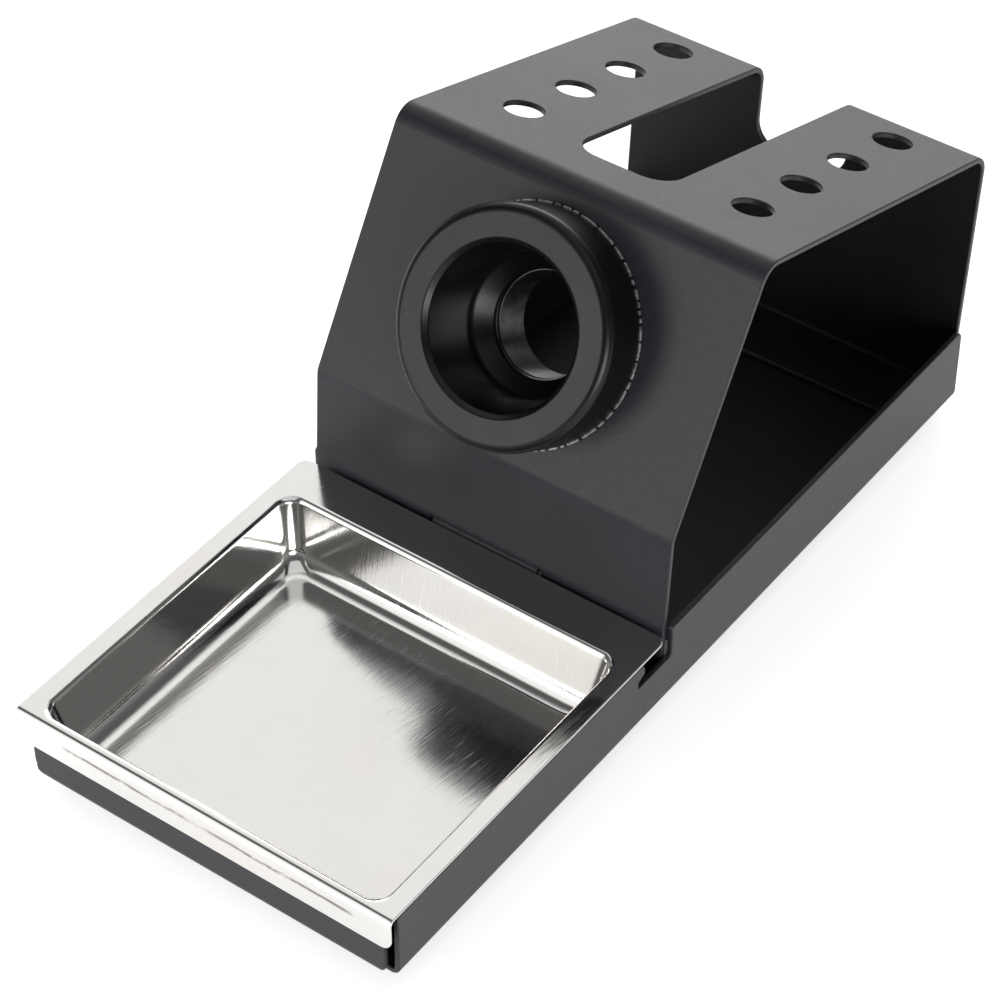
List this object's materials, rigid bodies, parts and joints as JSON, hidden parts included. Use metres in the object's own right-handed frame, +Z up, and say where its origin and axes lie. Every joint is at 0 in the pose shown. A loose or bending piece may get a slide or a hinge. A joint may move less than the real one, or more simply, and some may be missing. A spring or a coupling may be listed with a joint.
{
  "type": "soldering iron stand",
  "caption": "Folded sheet-metal soldering iron stand: sloping iron holder, slotted spare-tip rack and a lift-out drip tray.",
  "frame": {"origin": "on the table, under the middle of the stand's outline", "axes": "+X to the right seen from the tray's end, +Y from the tray to the back, +Z up"},
  "size_m": [0.081, 0.1851, 0.0841],
  "materials": {
    "coated_steel": "satin black powder coat",
    "bright_aluminium": "bright rolled sheet with fine grain",
    "moulded_plastic": "black heat-resistant moulding, low sheen",
    "bare_steel": "drawn steel",
    "rubber": "matt black rubber"
  },
  "bodies": {
    "stand": {"base_pan": "coated_steel", "bridge": "coated_steel", "holder_ring": "moulded_plastic", "holder_sleeve": "bare_steel", "holder_nut": "moulded_plastic", "rivet_1": "bare_steel", "rivet_2": "bare_steel", "rivet_3": "bare_steel", "rivet_4": "bare_steel", "rubber_foot_1": "rubber", "rubber_foot_2": "rubber", "rubber_foot_3": "rubber", "rubber_foot_4": "rubber"},
    "tray": {"tray": "bright_aluminium"}
  },
  "joints": [
    {"name": "tray_lift", "type": "slide", "parent": "stand", "child": "tray", "axis": [0, 0, 1], "range_m": [0, 0.022]}
  ]
}
